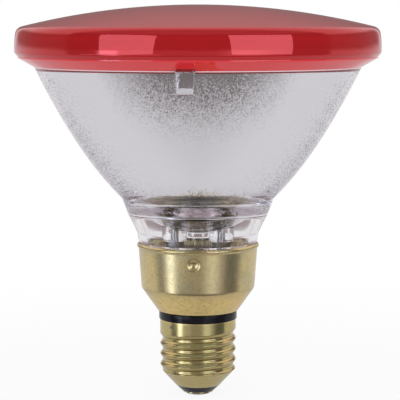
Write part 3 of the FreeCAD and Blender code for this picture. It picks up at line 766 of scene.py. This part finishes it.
def contactPiece():
    size = contactSize

    def ripple(azimuth, radius, height):
        # the bead's edge ran out a little unevenly
        if radius < size["radius"] - size["rippleWidth"]:
            return 0
        waves = size["rippleWaves"]
        wave = sum(weight * math.sin(count * azimuth + phase) for count, phase, weight in waves)
        return -size["ripple"] * (sum(weight for *_, weight in waves) - wave) / 2

    plugTop = size["height"] + size["plugHeight"]
    corners = [
        (0, 0, 0),
        (size["radius"] * size["flatShare"], 0, 0),
        (size["radius"], 0, size["rounding"]),
        (size["radius"], size["height"], 0),
        (size["plugRadius"], size["height"], 0),
        (size["plugRadius"], plugTop, 0),
        (0, plugTop, 0),
    ]
    mesh = latheMesh("solderBead", rounded(corners), size["around"], ripple)
    addPiece("solderBead", mesh, [solder], "contact_solder")


# Pieces that follow a rule: the rolled thread and the coil, as trees of geometry nodes

def newTree(name, inputs):
    tree = bpy.data.node_groups.new(name, "GeometryNodeTree")
    tree.is_modifier = True
    tree.interface.new_socket("Geometry", in_out="INPUT", socket_type="NodeSocketGeometry")
    for label, value in inputs.items():
        kind = "NodeSocketInt" if isinstance(value, int) else "NodeSocketFloat"
        socket = tree.interface.new_socket(label, in_out="INPUT", socket_type=kind)
        socket.default_value = value
    tree.interface.new_socket("Geometry", in_out="OUTPUT", socket_type="NodeSocketGeometry")
    graph = Graph(tree)
    entry = tree.nodes.new("NodeGroupInput")
    wires = {label: Wire(graph, entry.outputs[label]) for label in inputs}
    return graph, wires


def endTree(graph, geometry, material):
    real = graph.add("GeometryNodeRealizeInstances", None, {0: geometry})
    dressed = graph.add("GeometryNodeSetMaterial", None, {"Geometry": real, "Material": material})
    graph.add("NodeGroupOutput", None, {0: dressed})


def meshFromTree(name, graph, values):
    carrier = bpy.data.objects.new(name + "Carrier", bpy.data.meshes.new(name))
    scene.collection.objects.link(carrier)
    modifier = carrier.modifiers.new("nodes", "NODES")
    modifier.node_group = graph.tree
    for item in graph.tree.interface.items_tree:
        if item.in_out == "INPUT" and item.name in values:
            modifier[item.identifier] = values[item.name]
    depsgraph = bpy.context.evaluated_depsgraph_get()
    mesh = bpy.data.meshes.new_from_object(carrier.evaluated_get(depsgraph))
    mesh.name = name
    bpy.data.objects.remove(carrier)
    return mesh


# Lengths are in mm, and the groove's run in and run out are in turns from its two ends
threadSize = {
    "Foot Radius": 7.8, "Cone Height": 5.75, "Radius": 13.05, "Straight": 17.3, "Sheet": 0.3,
    "Pitch": 3.629, "Depth": 0.9, "Profile": 0.8, "First Groove": 2.59, "Thread Length": 17.2,
    "Run In Start": -0.30, "Run In End": 0.02, "Run Out Start": 0.35, "Run Out End": -0.05,
    "Cone Blend": 2.4, "Columns": 241, "Rows": 231,
}


def screwShellPiece():
    # a flat grid, one side outside the sheet and the other inside, wrapped round the axis
    graph, size = newTree("rolledThread", threadSize)
    grid = graph.add("GeometryNodeMeshGrid", None, {
        "Size X": 1.0, "Size Y": 1.0, "Vertices X": size["Columns"], "Vertices Y": size["Rows"]})
    across, along, _ = graph.parts(graph.add("GeometryNodeInputPosition"))
    turn = across + 0.5
    azimuth = turn * fullTurn
    path = (along + 0.5) * 2.0
    inside = path > 1.0
    share = path.lowest(2.0 - path)
    high = size["Cone Height"] + size["Straight"]
    height = share * high
    cone = size["Foot Radius"] + (size["Radius"] - size["Foot Radius"]) * (height / size["Cone Height"])
    wall = cone.lowest(size["Radius"])
    lead = (height - size["First Groove"]) / size["Pitch"] - turn
    phase = (lead - lead.maths("FLOOR")) - 0.5
    fromGroove = (phase + 0.5).lowest(0.5 - phase)
    wave = (fromGroove * fullTurn).cosine() * 0.5 + 0.5
    groove = wave.power(size["Profile"])
    alongGroove = (lead + 0.5).maths("FLOOR") + turn
    turnsDone = alongGroove.step(size["Run In Start"], size["Run In End"])
    turnsLeft = size["Thread Length"] / size["Pitch"] - alongGroove
    runOut = turnsLeft.step(size["Run Out End"], size["Run Out Start"])
    tooth = size["Depth"] * groove * turnsDone * runOut
    cutOff = (wall - size["Radius"] + size["Depth"] + size["Cone Blend"]).step(0.0, size["Cone Blend"])
    lean = size["Radius"] - tooth
    surface = wall.lowest(lean * cutOff + wall * (1.0 - cutOff))
    radius = (surface - inside * size["Sheet"]) * mm
    point = graph.add("ShaderNodeCombineXYZ", None, {
        "X": radius * azimuth.sine(), "Y": -(radius * azimuth.cosine()),
        "Z": (height + shellFoot) * mm})
    wrapped = graph.add("GeometryNodeSetPosition", None, {"Geometry": grid, "Position": point})
    merged = graph.add("GeometryNodeMergeByDistance", None, {"Geometry": wrapped, "Distance": 1e-6})
    endTree(graph, merged, brass)
    mesh = meshFromTree("threadedShell", graph, threadSize)
    shape = bmesh.new()
    shape.from_mesh(mesh)
    openEdges = [edge for edge in shape.edges if edge.is_boundary]
    bmesh.ops.bridge_loops(shape, edges=openEdges)
    bmesh.ops.recalc_face_normals(shape, faces=shape.faces)
    shape.to_mesh(mesh)
    shape.free()
    addPiece("threadedShell", mesh, [brass], "screw_shell", sharpAngle=60.0)


coilSize = {
    "Coil Radius": 1.25, "Pitch": 1.6, "Turns": 8, "Wire Radius": 0.32, "Leg Reach": 9.4,
    "Resolution": 28, "Sides": 10,
}


def filamentPiece():
    graph, size = newTree("coiledWire", coilSize)
    half = size["Turns"] * size["Pitch"] * 0.5
    rotations = {"Resolution": size["Resolution"], "Rotations": size["Turns"],
                 "Start Radius": size["Coil Radius"] * mm, "End Radius": size["Coil Radius"] * mm,
                 "Height": half * (2 * mm), "Reverse": False}
    spiral = graph.add("GeometryNodeCurveSpiral", None, rotations)
    centred = graph.add("GeometryNodeSetPosition", None, {
        "Geometry": spiral, "Offset": graph.add("ShaderNodeCombineXYZ", None, {"Z": -(half * mm)})})
    legs = []
    for side in (-1, 1):
        inner = graph.add("ShaderNodeCombineXYZ", None, {
            "X": size["Coil Radius"] * mm, "Z": half * (side * mm)})
        outer = graph.add("ShaderNodeCombineXYZ", None, {
            "X": size["Coil Radius"] * mm, "Z": size["Leg Reach"] * (side * mm)})
        legs.append(graph.add("GeometryNodeCurvePrimitiveLine", None, {"Start": inner, "End": outer}))
    join = graph.tree.nodes.new("GeometryNodeJoinGeometry")
    for wire in (centred, *legs):
        graph.tree.links.new(wire.socket, join.inputs[0])
    ring = graph.add("GeometryNodeCurvePrimitiveCircle", None, {
        "Resolution": size["Sides"], "Radius": size["Wire Radius"] * mm})
    tube = graph.add("GeometryNodeCurveToMesh", None, {
        "Curve": Wire(graph, join.outputs[0]), "Profile Curve": ring, "Fill Caps": True})
    endTree(graph, tube, tungsten)
    mesh = meshFromTree("coilFilament", graph, coilSize)
    low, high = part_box("filament")
    centre = (low + high) / 2
    mesh.transform(Matrix.Translation((0, 0, centre.z)) @ Matrix.Rotation(math.pi / 2, 4, "Y"))
    addPiece("coilFilament", mesh, [tungsten], "filament", sharpAngle=50.0)


def dressCadNodes():
    looks = {
        "contact_plate": brass, "side_solder": solder, "ferrule_left": leadMetal,
        "ferrule_right": leadMetal, "lead_rod_left": leadMetal, "lead_rod_right": leadMetal,
        "exhaust_tube": clearGlass, "centre_wire": leadMetal, "side_wire": leadMetal,
    }
    for node, material in looks.items():
        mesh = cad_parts[node].data
        mesh.materials.clear()
        mesh.materials.append(material)


lensPiece()
reflectorPiece()
print("glass made")
skirtPiece()
ringPiece()
tipPiece()
contactPiece()
screwShellPiece()
print("cap made")
filamentPiece()
dressCadNodes()
print("inner pieces made")


# Camera, floor, lamps and the studio that metal and glass see

cameraSize = {
    "lens": 148.5, "sensor": 36.0, "azimuth": 4.0, "distance": 562.0, "height": 128.8,
    "pitch": 6.27, "sideways": 0.7,
}


def towardsCamera():
    azimuth = math.radians(cameraSize["azimuth"])
    return Vector((math.sin(azimuth), -math.cos(azimuth), 0))


def addCamera():
    size = cameraSize
    out = towardsCamera()
    right = Vector((-out.y, out.x, 0))
    data = bpy.data.cameras.new("camera")
    data.lens = size["lens"]
    data.sensor_width = size["sensor"]
    camera = bpy.data.objects.new("camera", data)
    camera.location = out * size["distance"] * mm + right * size["sideways"] * mm
    camera.location.z = size["height"] * mm
    pitch = math.radians(size["pitch"])
    view = -out * math.cos(pitch) + Vector((0, 0, -math.sin(pitch)))
    camera.rotation_euler = view.to_track_quat("-Z", "Y").to_euler()
    scene.collection.objects.link(camera)
    scene.camera = camera


floorSize = {
    "radius": 3.0, "segments": 96, "shadowInner": 0.05, "shadowOuter": 0.30, "keep": 0.10,
    "colour": rgb(0.86, 0.86, 0.87),
}


def addFloor():
    size = floorSize
    shape = bmesh.new()
    bmesh.ops.create_circle(shape, cap_ends=True, segments=size["segments"], radius=size["radius"])
    mesh = meshFromShape("floor", shape)
    floor = bpy.data.objects.new("floor", mesh)
    scene.collection.objects.link(floor)
    material = bpy.data.materials.new("paleFloor")
    material.use_nodes = True
    material.node_tree.nodes.clear()
    graph = Graph(material.node_tree)
    x, y, _ = graph.parts(objectPoint(graph))
    distance = (x * x + y * y).power(0.5)
    keep = distance.step(size["shadowInner"], size["shadowOuter"], size["keep"], 0.0)
    diffuse = graph.add("ShaderNodeBsdfDiffuse", None, {"Color": size["colour"]})
    glow = graph.add("ShaderNodeEmission", None, {"Color": rgb(1, 1, 1), "Strength": 1.0})
    seen = graph.add("ShaderNodeLightPath", output="Is Camera Ray")
    mixed = graph.add("ShaderNodeMixShader", None, {0: seen * (1.0 - keep), 1: diffuse, 2: glow})
    graph.add("ShaderNodeOutputMaterial", None, {"Surface": mixed})
    mesh.materials.append(material)
    floor.visible_glossy = False
    floor.visible_transmission = False


lampLook = {"colour": (0.94, 1.0, 1.2), "aimHeight": 0.07}
lampSize = {
    # azimuth from the camera, elevation, distance, width, height, watts
    "leftBox": (-43.0, 11.0, 1.0, 0.62, 0.48, 1.65),
    "leftLedge": (-48.0, -8.0, 1.0, 1.00, 0.09, 0.5),
    "rightBox": (38.5, 11.0, 1.0, 0.70, 0.50, 2.0),
}


def addLamps():
    for name, (azimuth, elevation, distance, width, height, watts) in lampSize.items():
        turn = Matrix.Rotation(math.radians(azimuth), 3, "Z")
        flat = turn @ towardsCamera()
        rise = math.radians(elevation)
        way = flat * math.cos(rise) + Vector((0, 0, math.sin(rise)))
        data = bpy.data.lights.new(name, "AREA")
        data.shape = "RECTANGLE"
        data.size = width
        data.size_y = height
        data.energy = watts
        data.color = lampLook["colour"]
        lamp = bpy.data.objects.new(name, data)
        lamp.location = way * distance + Vector((0, 0, lampLook["aimHeight"]))
        lamp.rotation_euler = (-way).to_track_quat("-Z", "Y").to_euler()
        lamp.visible_camera = False
        scene.collection.objects.link(lamp)


# Azimuths are in radians from the camera, and heights are the upward part of a direction
studioLook = {
    "white": rgb(0.65, 0.635, 0.665),
    "tableDark": rgb(0.175, 0.155, 0.155),
    "middle": rgb(0.43, 0.41, 0.44),
    "deepDark": rgb(0.17, 0.17, 0.20),
    "boxOnTable": rgb(0.92, 1.00, 1.08),
    "stripOnTable": rgb(2.15, 2.35, 3.1),
    "side": rgb(0.79, 0.77, 0.79),
    "roomDark": rgb(0.15, 0.12, 0.12),
    "overhead": rgb(0.36, 0.38, 0.40),
    "lowBehind": rgb(0.27, 0.20, 0.20),
    "ceiling": rgb(1.08, 0.95, 0.96),
    "wings": rgb(0.26, 0.24, 0.24),
    "fill": rgb(0.80, 0.80, 0.82),
    "frontHalf": 1.54,
    "edgeBend": 0.065,  # how far the dark patch's lower edge rises towards the sides
    "darkNone": -0.985,
    "darkFull": -0.855,
    "darkLeast": 0.12,
    "facingFull": 0.60,
    "facingNone": 1.85,
    "shallow": -0.50,
    "sideFoot": -0.30,
    "box": (0.50, 0.06, 0.36),  # the middle, half of the full part, half of the whole
    "strip": (-0.98, 0.08, 0.16),
    "leftShadow": (-1.34, 0.10, 0.26, 0.75),
    "rightShadow": (0.86, 0.98),
    "gapHalf": 0.30,
    "lowBehindHeights": (0.10, 0.95),
    "wingHalf": 2.72,
    "wingTop": 0.30,
    "overheadHeights": (0.40, 0.60),
    "soft": 0.06,
    "tableSoft": 0.05,
    "wingSoft": 0.15,
    "wingTopSoft": 0.10,
    "horizonSoft": 0.03,
}


def steepTable(graph, turn, z):
    # the table below the lamp: white far down, and darker higher up where it faces the camera
    look = studioLook
    edge = z - look["edgeBend"] * turn * turn - look["darkNone"]
    rise = (edge / (look["darkFull"] - look["darkNone"])).highest(0.0).lowest(1.0)
    facing = turn.step(look["facingFull"], look["facingNone"], 1.0, 0.0)
    dark = facing * (look["darkLeast"] + (1 - look["darkLeast"]) * rise * rise)
    return graph.blend(dark, look["white"], look["tableDark"])


def shallowTable(graph, azimuth):
    # the table further out: the two lamps' light on it, and dark beside them
    look = studioLook
    shadow = azimuth.step(*look["rightShadow"]).highest(azimuth.patch(*look["leftShadow"]))
    colour = graph.blend(azimuth.patch(*look["box"]), look["middle"], look["boxOnTable"])
    colour = graph.blend(azimuth.patch(*look["strip"]), colour, look["stripOnTable"])
    return graph.blend(shadow, colour, look["deepDark"])


def roomAbove(graph, turn, z, inFront):
    # a dark room in front, and behind it a bright ceiling with a low dark gap and dark wings
    look = studioLook
    gap = turn.around(math.pi - look["gapHalf"], look["soft"])
    overLamp = graph.blend(z.step(*look["lowBehindHeights"]), look["lowBehind"], look["ceiling"])
    behind = graph.blend(gap, look["ceiling"], overLamp)
    wings = turn.around(look["wingHalf"], look["wingSoft"], 1.0, 0.0)
    wings = wings * z.around(look["wingTop"], look["wingTopSoft"], 1.0, 0.0)
    behind = graph.blend(wings, behind, look["wings"])
    ahead = graph.blend(z.step(*look["overheadHeights"]), look["roomDark"], look["overhead"])
    return graph.blend(inFront, behind, ahead)


def addStudio():
    # what glass and metal see, beside the plain white that the camera sees
    look = studioLook
    world = bpy.data.worlds.new("studio")
    world.use_nodes = True
    scene.world = world
    world.node_tree.nodes.clear()
    graph = Graph(world.node_tree)
    x, y, z = graph.parts(graph.add("ShaderNodeTexCoord", output="Generated"))
    out = towardsCamera()
    front = x * out.x + y * out.y
    side = y * out.x - x * out.y
    azimuth = side.maths("ARCTAN2", front)
    turn = azimuth.absolute()
    inFront = turn.around(look["frontHalf"], look["soft"], 1.0, 0.0)
    shallow = z.around(look["shallow"], look["tableSoft"])
    table = graph.blend(shallow, steepTable(graph, turn, z), shallowTable(graph, azimuth))
    sides = graph.blend(z.around(look["sideFoot"], look["tableSoft"]), look["white"], look["side"])
    table = graph.blend(inFront, sides, table)
    above = z.around(0.0, look["horizonSoft"])
    reflected = graph.blend(above, table, roomAbove(graph, turn, z, inFront))
    path = graph.add("ShaderNodeLightPath", output="Is Glossy Ray")
    seenByGlass = path.highest(graph.other(path, "Is Transmission Ray"))
    seenByCamera = graph.other(path, "Is Camera Ray")
    colour = graph.blend(seenByGlass, look["fill"], reflected)
    colour = graph.blend(seenByCamera, colour, rgb(1, 1, 1))
    background = graph.add("ShaderNodeBackground", None, {"Color": colour, "Strength": 1.0})
    graph.add("ShaderNodeOutputWorld", None, {"Surface": background})
    world.cycles.sampling_method = "NONE"


addCamera()
addFloor()
addLamps()
addStudio()
scene.view_settings.view_transform = "Standard"
scene.cycles.glossy_bounces = 24
scene.cycles.max_bounces = 32
scene.cycles.transmission_bounces = 32
print("studio made")
